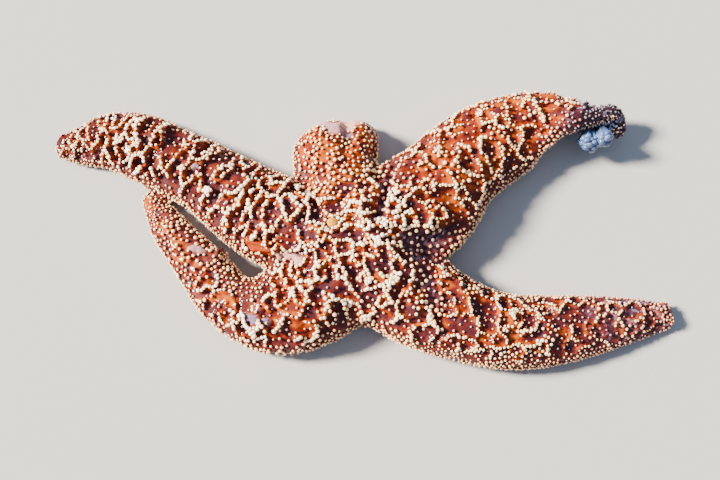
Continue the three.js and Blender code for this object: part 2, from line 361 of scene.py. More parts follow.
def locate(points):
    """Where points lie on the body: the limb's number, the station on it, the section angle
    (0 at the left side on the way out, a quarter turn at the crown, minus that below), the
    distance across and up from the underside, and how far out from the middle line (1 on the
    surface)."""
    count = len(points)
    found = {name: np.zeros(count) for name in ("limb", "station", "angle", "across", "up")}
    found["reach"] = np.full(count, np.inf)
    for number, limb in enumerate(limbs.values()):
        i = limb.nearest(points)
        gap = points - limb.base[i]
        across = (gap * limb.across[i]).sum(1)
        up = (gap * limb.up[i]).sum(1)
        ahead = (gap * limb.ahead[i]).sum(1)
        level = up / limb.height[i] - WIDEST_LEVEL
        level = np.where(level > 0, level / (1 - WIDEST_LEVEL), level / WIDEST_LEVEL)
        side = 2 * across / limb.width[i]
        reach = np.sqrt(side ** 2 + level ** 2 + (2 * ahead / limb.width[i]) ** 2)
        better = reach < found["reach"]
        values = dict(limb=number, station=i, angle=np.arctan2(level, side),
                      across=across, up=up, reach=reach)
        for name, value in values.items():
            found[name] = np.where(better, value, found[name])
    found["limb"] = found["limb"].astype(int)
    found["station"] = found["station"].astype(int)
    return found


def is_on(found, key):
    """Which of the located points are on that limb."""
    return found["limb"] == KEYS.index(key)


def of_limb(found, name):
    """A limb's own value, such as its width, at the station of each located point."""
    return np.array([getattr(limbs[KEYS[k]], name)[i]
                     for k, i in zip(found["limb"], found["station"])])


# ---------------------------------------------------------------- the skin


def set_corners(mesh, co):
    """Moves a mesh's vertices to places in millimetres."""
    mesh.vertices.foreach_set("co", (co * MM).ravel())
    mesh.update()


def welded(name):
    """A copy of a frame node as a bmesh with its loose triangles joined up."""
    bm = bmesh.new()
    bm.from_mesh(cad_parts[name].data)
    bmesh.ops.remove_doubles(bm, verts=bm.verts, dist=WELD * MM)
    bm.normal_update()
    return bm


def next_door(ends, values):
    """Mean of the values at each vertex's neighbours along the edges."""
    one, other = ends.T
    total = np.bincount(one, values[other], len(values))
    total += np.bincount(other, values[one], len(values))
    return total / np.bincount(ends.ravel(), minlength=len(values))


def relax(mesh, rounds):
    """Evens out a mesh without shrinking it: every second round pushes back outwards."""
    ends = read(mesh.edges, "vertices", 2, int)
    co = read(mesh.vertices, "co", 3) / MM
    for n in range(rounds):
        for k in range(3):
            co[:, k] += (0.5, -0.52)[n % 2] * (next_door(ends, co[:, k]) - co[:, k])
    set_corners(mesh, co)


def blurred(mesh, values, rounds):
    """Evens out values at the mesh's vertices along its edges."""
    ends = read(mesh.edges, "vertices", 2, int)
    for _ in range(rounds):
        values = (values + next_door(ends, values)) / 2
    return values


def body_shell():
    """One closed mesh of even faces through all the flesh, without its seams."""
    shell = bpy.data.meshes.new("body_shell")
    whole = bmesh.new()
    arm_a = bmesh.new()
    for name in ("arm_a_near", "arm_a_far"):
        arm_a.from_mesh(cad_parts[name].data)
    arm_a_tree = BVHTree.FromBMesh(arm_a)
    for name in FLESH:
        bm = welded(name)
        for vert in bm.verts:
            vert.co += vert.normal * SWELL * MM
        if name.startswith("arm_b"):
            for vert in bm.verts:
                near, normal, _, _ = arm_a_tree.find_nearest(vert.co)
                if (vert.co - near).dot(normal) < APART * MM:
                    vert.co = near + normal * APART * MM
        bm.to_mesh(shell)
        whole.from_mesh(shell)
        bm.free()
    whole.to_mesh(shell)
    whole.free()
    arm_a.free()
    maker = add_object("body_shell", shell)
    remesh = maker.modifiers.new("remesh", "REMESH")
    remesh.mode = "VOXEL"
    remesh.voxel_size = VOXEL * MM
    shown = maker.evaluated_get(bpy.context.evaluated_depsgraph_get())
    skin = bpy.data.meshes.new_from_object(shown)
    bpy.data.objects.remove(maker)
    skin.name = "skin"
    relax(skin, RELAXING)
    return skin


def in_spacings(gaps, forward, along, across):
    """Squared lengths of gaps, measured in spacings along and across an arm; forward is how far
    each gap goes along it."""
    return (forward / along) ** 2 + ((gaps ** 2).sum(1) - forward ** 2) / across ** 2


def throw(points, ahead, spacing):
    """Picks points in a random order, each at least one spacing from those already picked, with
    the spacing's own measure along the way ahead and across it."""
    kept = []
    for i in random.permutation(len(points)):
        if kept:
            gaps = points[kept] - points[i]
            if in_spacings(gaps, gaps @ ahead[i], *spacing[i]).min() < 1:
                continue
        kept.append(i)
    return np.array(kept)


def two_nearest(points, seeds, ahead, spacing):
    """How far each point is, in millimetres, from the border between the cells of its two
    nearest seeds, with distances in each seed's own measure; and those seeds' numbers."""
    first = np.full(len(points), np.inf)
    second = np.full(len(points), np.inf)
    owner = np.zeros(len(points), int)
    rival = np.zeros(len(points), int)
    for number, seed in enumerate(seeds):
        gaps = points - seed
        near = np.nonzero((np.abs(gaps) < WIDEST_CELL).all(1))[0]
        gaps = gaps[near]
        distance = np.sqrt(in_spacings(gaps, gaps @ ahead[number], *spacing[number]))
        closer = distance < first[near]
        next_one = ~closer & (distance < second[near])
        second[near] = np.where(closer, first[near], np.minimum(second[near], distance))
        rival[near] = np.where(closer, owner[near], np.where(next_one, number, rival[near]))
        owner[near[closer]] = number
        first[near] = np.minimum(first[near], distance)
    between = seeds[rival] - seeds[owner]
    squared = in_spacings(between, (between * ahead[owner]).sum(1), *spacing[owner].T)
    scale = np.linalg.norm(between, axis=1) / np.sqrt(np.maximum(squared, 1e-9))
    lonely = 9  # a point with no second seed counts as far from any border
    return np.where(np.isfinite(second), (second - first) / 2 * scale, lonely), owner, rival


def beside(points, start, end):
    """How far each point is from the straight line between two others, and the share of the
    way along that line at which it is nearest."""
    start, end = np.array(start, float), np.array(end, float)
    way = end - start
    share = np.clip((points - start) @ way / (way @ way), 0, 1)
    return np.linalg.norm(points - start - share[:, None] * way, axis=1), share


def let_in(points):
    """How much deeper the furrows make the skin at each point."""
    most = np.zeros(len(points))
    for start, end, half, last_half, depth, last_depth in FURROWS:
        gap, share = beside(points[:, :2], start, end)
        width = half + (last_half - half) * share
        most = np.maximum(most, (depth + (last_depth - depth) * share) * ease(1, 0.1, gap / width))
    return most


def folds_at(points):
    """How much each point belongs to a bare fold, from 0 to 1, and the fold's colour."""
    most, colour = np.zeros(len(points)), np.zeros(len(points))
    ragged = 1.6 * noise_at(points, 2.5, 15)
    for start, end, half, tint in FOLDS:
        share = ease(1.35 * half, 0.75 * half, beside(points, start, end)[0] + ragged)
        colour = np.where(share > most, tint, colour)
        most = np.maximum(most, share)
    return most, colour


def fineness_at(found):
    """Size of the coat's features at each located point, as a share of those on the disc: they
    grow finer towards the tips, and hardly on the short arm c."""
    least = np.where(np.isin(found["limb"], STUB), 0.84, 0.64)
    most = 1 - 0.2 * is_on(found, "e") * ease(0.15, 0.4, of_limb(found, "share"))
    return least + (most - least) * ease(4, 45, of_limb(found, "to_end"))


def painted_shade_at(found):
    """How much painted shade each located point gets on the tips of arms d and e, which are
    painted dark and dull.
    """
    share = of_limb(found, "share")
    on_d = ease(*PAINTED_SHADE_SPAN, share) * is_on(found, "d")
    return on_d + 0.6 * ease(0.6, 0.95, share) * is_on(found, "e")


def zones(points, outward, found, from_middle):
    """How much each point of the shell belongs to the net of the back, to the whole upper side
    and to the pale underside; and which points are in the grooves or in the mouth."""
    # Degrees round the section: 0 and 180 at its widest lines, 90 at its crown.
    angle = np.degrees(found["angle"])
    angle = np.where(angle < -90, angle + 360, angle)
    # The top of the disc is all back, whichever arm it is nearest to.
    middle = ease(46, 30, from_middle) * ease(0.1, 0.5, outward[:, 2])
    upper = np.maximum(ease(-10, 4, angle) * ease(190, 176, angle), middle)
    # The flanks have no net and have a darker plum skin: partly their own colour, partly painted
    # shade. On arm b's side that faces arm a they reach up to the crown, so that this side is
    # painted darker as shade.
    facing_a = is_on(found, "b") * ease(0.3, 0.42, of_limb(found, "share"))
    high = 164 - 50 * facing_a
    back = ease(12, 38, angle) * ease(high, high - 26, angle)
    back = np.maximum(back, middle * (1 - facing_a))
    low = points[:, 2] < 9
    under = ease(-0.55, -0.9, outward[:, 2]) * low
    floor, roof, half_width, mouth_radius = 0.9, 7.5, 6.2, 11
    groove = (np.abs(found["across"]) < half_width) & (found["up"] < roof) & (found["up"] > floor)
    groove |= (from_middle < mouth_radius) & low & (points[:, 2] > floor)
    return back, upper, under, groove


def off_plate(points):
    """How far points are from the middle of the sieve plate, in plan."""
    return np.linalg.norm(points[:, :2] - np.array(MADREPORITE[:2]), axis=1)


def make_skin():
    """The skin: the shell drawn in by the depth of the coat, with a net of raised ridges round
    soft sunken cells on the back. Returns its object and what the coat needs to know of it."""
    mesh = body_shell()
    shell = read(mesh.vertices, "co", 3) / MM
    outward = read(mesh.vertices, "normal", 3)
    found = locate(shell)
    ahead = of_limb(found, "ahead")
    from_middle = np.linalg.norm(shell[:, :2] - np.array(CENTRE), axis=1)
    fineness = fineness_at(found)
    back, upper, under, groove = zones(shell, outward, found, from_middle)

    # The net: random cells, with ridges where two of them meet.
    stretch = ease(20, 50, from_middle)
    uneven = random.uniform(0.62, 1.35, len(shell))
    net = np.array([NETS[key] for key in KEYS])[found["limb"]]
    net = NET_ON_DISC + (net - NET_ON_DISC) * stretch[:, None]
    spacing = (uneven * fineness)[:, None] * net[:, :2]
    wavy = shell
    for size, distance, seeds in WANDERING:
        wavy = wavy + size * np.column_stack([noise_at(shell, distance, seed) for seed in seeds])
    field = np.nonzero(back > 0.05)[0]
    picked = field[throw(shell[field], ahead[field], spacing[field])]
    edge, owner, rival = two_nearest(wavy, shell[picked], ahead[picked], spacing[picked])
    edge -= 0.5 * noise_at(shell, 6, 5)  # ridges vary in width
    # Some neighbouring cells run together.
    lots = np.random.default_rng(3).random((len(picked), len(picked)))
    gone = lots[np.minimum(owner, rival), np.maximum(owner, rival)] < MERGED_CELLS
    edge += 2.5 * fineness * blurred(mesh, gone.astype(float), 2)
    fold, mauve = folds_at((shell + wavy) / 2)
    plate = off_plate(shell)
    # A ridge is flat to half a millimetre from its middle line, and fades out by two. A low
    # collar of the same kind runs round the sieve plate.
    ridge = ease(2.0, 0.5, edge / fineness) * (1 - fold)
    ridge = np.maximum(ridge, ease(5.2, 3.2, plate))

    # Where the net fades out: on the stub, towards arm b's tip, in the hollows and in patches.
    hollow = let_in(shell)
    on_a = is_on(found, "a")
    on_stub = np.isin(found["limb"], STUB) * ease(20, 32, from_middle)
    on_b = is_on(found, "b") * ease(0.58, 0.72, of_limb(found, "share"))
    even = np.maximum(np.maximum(on_stub, on_b), ease(1.5, 3.5, hollow))
    even = np.maximum(even, ease(0.22, 0.4, noise_at(shell, 10, 11)) * ~on_a)
    # Smooth orange patches with few spines, on every arm but a.
    patches = ease(0.12, 0.34, noise_at(shell, 7, 12)) * stretch * ~on_a
    patches *= ease(3, 1, hollow)

    # How far the skin lies inside the shell: no two cells are equally deep.
    deep = 0.3 + 0.8 * random.random(len(picked))
    lumps = ease(-0.5, 0.5, noise_at(shell, 9, 4))
    sunk = net[:, 2] * fineness * (1 - ridge) * deep[owner] + 1.6 * lumps * fineness
    sunk = back * sunk * (1 - 0.7 * fold) * (1 - 0.45 * even)
    depth = SPINE_RISE * (0.55 + 0.45 * fineness) * (1 - 0.35 * fold) + sunk
    depth += back * hollow
    depth = np.where(groove, 0.5, depth)  # no coat covers the walls of the grooves
    # Wrinkles run across the bare folds.
    wrinkles = np.sin(2 * math.pi * (shell @ np.array([0.1, 0.62, 0.1])) / 2.2)
    depth += 0.35 * fold * wrinkles
    level = SWELL + CROWN - MADREPORITE[2] + 0.4  # the sieve plate lies in a level place
    depth = np.where(shell[:, 2] > 20, depth + (level - depth) * ease(4.2, 2.8, plate), depth)

    skin = shell - outward * depth[:, None]
    skin[:, 2] = np.maximum(skin[:, 2], LOWEST)
    set_corners(mesh, skin)
    # The skin's tone: orange on the ridges, darker in the sunken cell floors (partly painted
    # shade) and darker again in the furrows and hollows (painted shade).
    tone = (net[:, 3] + (1 - net[:, 3]) * ridge) * back * (1 - 0.45 * ease(1.5, 4.5, hollow))
    tone = np.maximum(tone, 0.85 * patches * back)
    # Painted shade: darkness on the tips of arms d and e and in the deepest hollows.
    painted_shade = np.maximum(painted_shade_at(found), 0.7 * ease(1.8, 4.5, hollow) * back)
    layers = dict(tone=tone, back=back, under=under, fold=fold, mauve=mauve, painted_shade=painted_shade)
    for name, values in layers.items():
        store(mesh, name, values)
    mesh.shade_smooth()
    facts = dict(skin=skin, outward=outward, edge=edge, back=back, upper=upper, fold=fold,
                 mauve=mauve, fineness=fineness, depth=depth, even=even, painted_shade=painted_shade,
                 bold=net[:, 4], pale=net[:, 5], patches=patches)
    return add_object("skin", mesh), facts


# ---------------------------------------------------------------- small shapes of the coat


def spun(profile, sides):
    """A small shape that is open at its foot: its corners, its faces, for each face corner how
    far round and up it is, and for each corner how far up it is."""
    bm = lathe(profile, sides)
    if max(bm.faces, key=lambda f: f.calc_center_median().z).normal.z < 0:
        bmesh.ops.reverse_faces(bm, faces=bm.faces)
    bm.verts.ensure_lookup_table()
    co = np.array([v.co[:] for v in bm.verts])
    faces = [[v.index for v in face.verts] for face in bm.faces]
    top = co[:, 2].max()
    patch = []
    for face in bm.faces:
        centre = face.calc_center_median()
        facing = math.atan2(centre.y, centre.x)
        for vert in face.verts:
            turn = 0.0
            if math.hypot(vert.co.x, vert.co.y) > 1e-4:
                turn = math.atan2(vert.co.y, vert.co.x) - facing
                turn = (turn + math.pi) % (2 * math.pi) - math.pi
            patch.append(((facing + turn) / (2 * math.pi) + 0.5, max(0, vert.co.z / top)))
    bm.free()
    patch = np.array(patch)
    # A face on the far side runs a little past a full turn, and the square has a margin.
    patch[:, 0] = 0.02 + 0.96 * np.clip(patch[:, 0] * 0.86 + 0.07, 0, 1)
    return dict(co=co, faces=faces, patch=patch, rise=np.clip(co[:, 2] / top, 0, 1))


# Profiles for a head radius of 1: blunt knobs of the back, beads of the edge, slim spines that
# guard the groove and the mouth.
KNOB = spun([(0.6, -0.5), (0.66, 0.45), (1.0, 1.0), (0.92, 1.42), (0.52, 1.75), (0, 1.85)], 8)
BEAD = spun([(0.75, -0.6), (0.8, 0.6), (1.0, 1.1), (0.8, 1.65), (0, 2.0)], 6)
PEG = spun([(0.85, -0.6), (0.95, 1.6), (0.9, 2.9), (0.5, 3.5), (0, 3.7)], 6)


def bake_patch(place):
    """The corner of a copy's own small square on the bake's map, at its root's place on an
    unwrap of the arm: along it and round it."""
    number, station, angle = place
    limb = limbs[KEYS[number]]
    along = limb.way[station] / limb.length
    round_it = (angle / (2 * math.pi) + 0.25) % 1
    return 0.005 + 0.985 * along, 0.005 + 0.985 * round_it


def sow(name, shape, roots, axes, radii, heights, spots, lean=0.12, bend=0.0, tints=None):
    """One mesh of many copies of a small shape, each with its foot at a root, its axis along an
    axis and its own radius and height in millimetres. The axes stray by about lean; bend is how
    far a tip may turn aside, as a share of the height; tints are for the material, and random
    where none are given."""
    count, size = len(roots), len(shape["co"])
    tilt = random.normal(0, lean, (count, 3))
    axes = unit(axes + tilt)
    helper = np.where(np.abs(axes[:, 2:]) < 0.9, [[0, 0, 1]], [[1, 0, 0]])
    side = unit(np.cross(helper, axes))
    turn = random.uniform(0, 2 * math.pi, count)[:, None]
    side = np.cos(turn) * side + np.sin(turn) * np.cross(axes, side)
    other = np.cross(axes, side)
    co = shape["co"]
    tall = heights / co[:, 2].max()
    placed = roots[:, None] + radii[:, None, None] * (
        co[None, :, :1] * side[:, None] + co[None, :, 1:2] * other[:, None]
    ) + (tall[:, None] * co[:, 2])[..., None] * axes[:, None]
    swing = random.uniform(0, bend, count) * heights
    placed += (swing[:, None] * shape["rise"] ** 2)[..., None] * side[:, None]
    placed = placed.reshape(-1, 3)
    placed[:, 2] = np.maximum(placed[:, 2], JUST_OFF)

    sizes = np.array([len(face) for face in shape["faces"]])
    loops = np.concatenate(shape["faces"])
    mesh = bpy.data.meshes.new(name)
    mesh.vertices.add(count * size)
    mesh.loops.add(count * len(loops))
    mesh.polygons.add(count * len(sizes))
    mesh.vertices.foreach_set("co", (placed * MM).ravel())
    all_loops = loops[None] + size * np.arange(count)[:, None]
    mesh.loops.foreach_set("vertex_index", all_loops.ravel())
    starts = np.concatenate([[0], np.cumsum(sizes)[:-1]])
    all_starts = starts[None] + len(loops) * np.arange(count)[:, None]
    mesh.polygons.foreach_set("loop_start", all_starts.ravel())
    mesh.update(calc_edges=True)
    mesh.shade_smooth()

    corner = np.array([bake_patch(spot) for spot in spots])
    uv = corner[:, None] + PATCH * shape["patch"][None]
    mesh.uv_layers.new(name="OFBake").data.foreach_set("uv", uv.ravel())
    tints = random.random(count) if tints is None else tints
    store(mesh, "rise", np.tile(shape["rise"], count))
    store(mesh, "tint", np.repeat(tints, size))
    return add_object(name, mesh)


def keep_apart(points, spacing, order):
    """Picks points in the given order, leaving out those closer than their spacing to one that
    is already picked."""
    cell = spacing.max()
    grid = {}
    kept = []
    keys = np.floor(points / cell).astype(int)
    steps = [(i, j, k) for i in (-1, 0, 1) for j in (-1, 0, 1) for k in (-1, 0, 1)]
    for n in order:
        x, y, z = points[n]
        a, b, c = keys[n]
        room = spacing[n] ** 2
        near = (other for i, j, k in steps for other in grid.get((a + i, b + j, c + k), ()))
        if not any((px - x) ** 2 + (py - y) ** 2 + (pz - z) ** 2 < room for px, py, pz in near):
            kept.append(n)
            grid.setdefault((a, b, c), []).append((x, y, z))
    return np.array(kept, int)


def back_spines(skin_mesh, facts):
    """Knobbed spines of the back: close rows along the ridges, and a few small ones in the soft
    cells."""
    quads = read(skin_mesh.loops, "vertex_index", 1, int).reshape(-1, 4)
    quads = quads[facts["upper"][quads].mean(1) > 0.25]
    bare = facts["fold"] * (facts["mauve"] < OPEN_FOLD)
    quads = quads[bare[quads].mean(1) < BARE]
    # Two random places on each face.
    share = random.random((len(quads), 2, 1, 2))
    picks = []
    for s, t in ((share[:, k, :, 0], share[:, k, :, 1]) for k in (0, 1)):
        picks.append(((1 - s) * (1 - t), s * (1 - t), s * t, (1 - s) * t))

    def spread(name):
        """What is known of the skin, at those places."""
        got = facts[name][quads]
        wide = got.ndim == 3
        got = got if wide else got[..., None]
        got = np.concatenate([sum(w * got[:, i] for i, w in enumerate(ws)) for ws in picks])
        return got if wide else got[:, 0]

    roots, axes = spread("skin"), unit(spread("outward"))
    edge, fineness, depth, back, even, painted_shade, bold, pale, patches = (spread(name) for name in (
        "edge", "fineness", "depth", "back", "even", "painted_shade", "bold", "pale", "patches"))
    plate = off_plate(roots)
    flank, even = back < 0.5, even > 0.5
    on_ridge = ((edge < 0.75 * fineness) | (plate < PLATE_RADIUS + 1.6)) & ~flank

    def by_place(what, order, places):
        """A number of each spine by its place; the first that holds in that order counts."""
        return np.select([places[name] for name in order],
                         [SPINES[name][what] for name in order], SPINES["cell"][what])

    places = dict(ridge=on_ridge, flank=flank, even=even)
    spacing = by_place("spacing", ("even", "flank", "ridge"), places) * fineness
    spacing *= random.uniform(0.9, 1.15, len(edge)) * bold ** 0.5 * (1 + 0.4 * painted_shade)
    spacing *= 1 + 0.3 * patches
    # The ridges are filled first, from their middle outwards.
    order = np.argsort(np.where(on_ridge, 0, 20) + edge + random.uniform(0, 0.2, len(edge)))
    kept = keep_apart(roots, spacing, order[plate[order] > PLATE_RADIUS + 0.6])
    places = {name: mask[kept] for name, mask in places.items()}
    roots, axes, depth = roots[kept], axes[kept], depth[kept]
    size = HEAD_RADIUS * fineness[kept] * bold[kept] * random.uniform(0.74, 1.2, len(kept))
    size *= by_place("size", ("even", "ridge", "flank"), places)
    size *= 0.86 + 0.26 * ease(-0.3, 0.3, noise_at(roots, 12, 14))
    heights = np.minimum(depth - JUST_OFF, 1.9 * size)
    shades = ("ridge", "even", "flank")
    least, most = (by_place(what, shades, places) for what in ("least", "most"))
    tints = least + (most - least) * random.random(len(kept))
    # Painted shade dulls the spines on the darkened tips and in the hollows.
    tints *= pale[kept] * (1 - 0.92 * painted_shade[kept])
    return roots, axes, size, heights, tints


def spots_of(roots):
    """The limb, station and section angle of each root."""
    found = locate(roots)
    return list(zip(found["limb"], found["station"], found["angle"]))


def sow_by_limb(name, shape, roots, axes, size, heights, tints, lean=0.12):
    """Sows a small shape as one piece for each arm; the lobe's copies go with arm c's."""
    spots = spots_of(roots)
    number = np.array([spot[0] for spot in spots])
    pieces = []
    for key in ARMS:
        own = np.isin(number, STUB) if key == "c" else number == KEYS.index(key)
        own = np.nonzero(own)[0]
        pieces.append(sow(f"{name}_{key}", shape, roots[own], axes[own], size[own], heights[own],
                          [spots[i] for i in own], lean, tints=tints[own]))
    return pieces


# ---------------------------------------------------------------- spines of the edge and underside


def edge_rows(skin_mesh, facts):
    """Rows of smaller spines along each arm's flanks and on its underside, out to the groove."""
    tree = BVHTree.FromPolygons([Vector(p) for p in facts["skin"]],
                                [p.vertices[:] for p in skin_mesh.polygons])
    found = []

    def try_one(start, target, radius, height, tint):
        """Plants a bead where the line from inside the arm to a target meets the skin."""
        way = Vector(target - start)
        hit, normal, _, far = tree.ray_cast(Vector(start), way.normalized())
        if hit is None or not 0.6 * way.length < far < 1.3 * way.length:
            return 0
        found.append((hit[:], normal[:], radius, height, tint))
        return far

    def round_the_end(limb):
        """Arcs of small beads round the blunt end, seen from a point inside it."""
        i = int(limb.length - min(limb.width[-1], 14) / 2)
        wide, half_tall = limb.width[i] / 2, 0.5 * limb.height[i]
        heart = limb.base[i] + limb.up[i] * half_tall
        for pitch in range(6, 90, 16):
            tilt = math.radians(pitch)
            around = random.uniform(0, 0.5)
            while around < 2 * math.pi:
                toward = (math.sin(tilt) * limb.ahead[i] * (limb.length - i)
                          + math.cos(tilt) * (math.cos(around) * limb.across[i] * wide
                                              + math.sin(around) * limb.up[i] * half_tall))
                far = try_one(heart, heart + 0.9 * toward, random.uniform(0.56, 0.68), 1.2,
                              random.uniform(0.5, 0.9))
                around += 1.8 / max(1.5, far * math.cos(tilt))

    def row(limb, scale, degrees):
        """One row along the arm, at that angle of its section."""
        way = random.uniform(8, 10)
        while way < limb.length - 1:
            i = min(int(round(way)), len(scale) - 1)
            turned = math.radians(degrees) + random.normal(0, 0.04)
            start = limb.base[i] + limb.up[i] * 0.68 * limb.height[i]
            target = (limb.base[i] + limb.across[i] * math.cos(turned) * (limb.width[i] / 2)
                      + limb.up[i] * WIDEST_LEVEL * limb.height[i] * (1 + math.sin(turned)))
            # Flank beads are duller than those round the end: partly their own colour, partly
            # painted shade.
            try_one(start, target, random.uniform(0.62, 0.8) * scale[i],
                    random.uniform(1.4, 1.7) * (0.5 + 0.5 * scale[i]),
                    random.uniform(0.2, 0.6))
            way += random.uniform(2.1, 2.8) * scale[i]

    for number, limb in enumerate(limbs.values()):
        stations = np.arange(len(limb.way))
        scale = fineness_at(dict(limb=np.full(len(stations), number), station=stations))
        round_the_end(limb)
        for degrees in EDGE_ROWS:
            row(limb, scale, degrees)
            row(limb, scale, -180 - degrees)
    roots, axes, size, heights, tints = (np.array(part) for part in zip(*found))
    located = locate(roots)
    # Painted shade dulls the beads on the darkened tips.
    tints *= 1 - 0.92 * painted_shade_at(located)
    free = (located["reach"] > 0.6) & (folds_at(roots)[0] < BARE)
    keep = keep_apart(roots, 1.5 * size + 0.7, np.nonzero(free)[0])
    return roots[keep], axes[keep], size[keep], heights[keep], tints[keep]


def groove_spines():
    """Two rows of slim spines along each side of the open grooves, leaning over them: the inner
    row more than the outer one."""
    found = []
    for key in ARMS:
        limb = limbs[key]
        for side in (-1, 1):
            for out, lean in ((0.9, 0.75), (2.2, 0.3)):
                way = random.uniform(12, 13)
                while limb.length - way > 6:
                    i = int(round(way))
                    up, across = limb.up[i], side * limb.across[i]
                    half = GROOVE_WIDTH / 2 * limb.narrowing(i)
                    root = limb.base[i] + across * (half + out) + up * 2.2
                    axis = -up - lean * across + limb.ahead[i] * random.normal(0, 0.12)
                    found.append((root, axis, random.uniform(0.42, 0.5), random.uniform(2.2, 2.6)))
                    way += random.uniform(1.5, 1.8)
    roots, axes, size, heights = (np.array(part) for part in zip(*found))
    return roots, unit(axes), size, heights, random.uniform(0.35, 0.6, len(roots))


# ---------------------------------------------------------------- mouth and sieve plate


def mouth():
    """The mouth from below: a dished membrane that puckers in the middle, with five jaws."""
    rim = 8.9
    bm = lathe([(0, 6.4), (0.7, 6.1), (1.3, 4.9), (2.4, 4.2), (4.5, 4.1), (7, 4.8), (rim, 5.7),
                (rim, 6.3), (0, 7.2)], 48, MM)
    for vert in bm.verts:
        x, y, _ = vert.co / MM
        out = math.hypot(x, y)
        wrinkle = math.sin(math.atan2(y, x) * 15 + 0.4 * out)
        vert.co.z += 0.28 * wrinkle * ease(0.4, 2.5, out) * ease(rim, 6, out) * MM
    for turn in JAWS:
        jaw = bmesh.ops.create_uvsphere(bm, u_segments=14, v_segments=8, radius=MM)["verts"]
        bmesh.ops.scale(bm, verts=jaw, vec=(2.6, 1.05, 1.25))
        bmesh.ops.translate(bm, verts=jaw, vec=(6.1 * MM, 0, 3.6 * MM))
        bmesh.ops.rotate(bm, verts=jaw, cent=(0, 0, 0), matrix=Matrix.Rotation(turn, 3, "Z"))
    bmesh.ops.translate(bm, verts=bm.verts, vec=(CENTRE[0] * MM, CENTRE[1] * MM, 0))
    return add_bmesh("mouth_and_jaws", bm)


def mouth_spines():
    """Slim spines on the jaws, which point in over the mouth."""
    roots, axes = [], []
    for turn in JAWS:
        out = np.array([math.cos(turn), math.sin(turn), 0])
        for reach, lean in ((3.9, 1.6), (4.9, 0.8), (6.0, 0.45), (7.2, 0.2)):
            roots.append(np.array([*CENTRE, 2.9]) + out * reach)
            axes.append(-lean * out - np.array([0, 0, 1]))
    count = len(roots)
    return (np.array(roots), unit(np.array(axes)), random.uniform(0.45, 0.55, count),
            random.uniform(2.2, 2.5, count))


def sieve_plate():
    """The madreporite: a low dome with fine furrows that wind out from its middle."""
    steps = 14
    profile = [(0, PLATE_RISE)]
    for n in range(1, steps + 1):
        share = n / steps
        dome = math.sqrt(max(0, 1 - share ** 2.4))
        profile.append((PLATE_RADIUS * share, PLATE_RISE * dome))
    profile += [(PLATE_RADIUS * 0.9, -1.2), (0, -1.2)]
    bm = lathe(profile, 72, MM)
    furrows, furrow_depth = 18, 0.17
    for vert in bm.verts:
        x, y, z = vert.co / MM
        if z < 0:
            continue
        out, around = math.hypot(x, y), math.atan2(y, x)
        wind = furrows * around + 2.2 * math.sin(2.1 * out + 1.3 * around)
        sunk = (0.5 + 0.5 * math.cos(wind)) * ease(0.3, 1.0, out)
        vert.co.z -= furrow_depth * sunk * MM
    bmesh.ops.translate(bm, verts=bm.verts, vec=Vector(MADREPORITE) * MM)
    return add_bmesh("sieve_plate", bm)


# ---------------------------------------------------------------- tube feet

FOOT = spun([(0.8, -0.3), (0.62, 0.8), (0.55, 2.6), (0.62, 3.5), (1.05, 3.9), (1.0, 4.1),
             (0.5, 4.02), (0, 3.95)], 7)
DRAWN_IN = spun([(0.7, -0.3), (0.75, 1.2), (0.85, 2.6), (1.0, 3.4), (0.9, 3.8), (0.5, 4.0),
                 (0, 4.05)], 8)


def sow_feet(name, shape, key, feet, swing, bend, tints=None):
    """One piece of an arm's tube feet, each given by its root, tip, radius and station; swing
    is how many degrees their squares on the bake's map are spread by."""
    roots, tips, radii, stations = (np.array(part) for part in zip(*feet))
    gap = tips - roots
    heights = np.linalg.norm(gap, axis=1)
    spots = [(KEYS.index(key), i, math.radians(-90 + swing * random.normal())) for i in stations]
    # Without given tints the feet take the dark bluish end of the ramp: painted shade.
    tints = random.uniform(0.85, 1, len(roots)) if tints is None else tints
    return sow(name, shape, roots, gap / heights[:, None], radii, heights, spots, lean=0.02,
               bend=bend, tints=tints)


def tube_feet(key):
    """Four rows of tube feet in an arm's groove, each with its sucker on the floor."""
    limb = limbs[key]
    feet = []
    for row, aside in enumerate(FOOT_ROWS):
        way = 13 + 0.5 * FOOT_SPACING * (row % 2)
        while limb.length - way > 7:
            i = int(round(way))
            narrow = limb.narrowing(i)
            base, across, up = limb.base[i], limb.across[i], limb.up[i]
            roof = min(GROOVE_DEPTH, 0.42 * limb.height[i])
            root = base + across * aside * narrow + up * roof
            lean = random.normal(0, 0.5, 2)
            tip = base + across * (aside * narrow * 1.05 + lean[0])
            tip = tip + limb.ahead[i] * lean[1] + up * 0.25
            radius = random.uniform(0.72, 0.9) * (0.45 + 0.55 * narrow)
            feet.append((root, tip, radius, i))
            way += FOOT_SPACING * random.uniform(0.9, 1.1) * (0.5 + 0.5 * narrow)
    tints = np.random.default_rng(5).uniform(0, 0.6, len(feet))
    if "lift" in LIMBS[key]:  # the feet of the raised tip are painted dark bluish: painted shade
        tints = np.maximum(tints, ease(40, 26, limb.to_end[[foot[3] for foot in feet]]))
    return sow_feet(f"feet_{key}", FOOT, key, feet, 25, 0.12, tints)


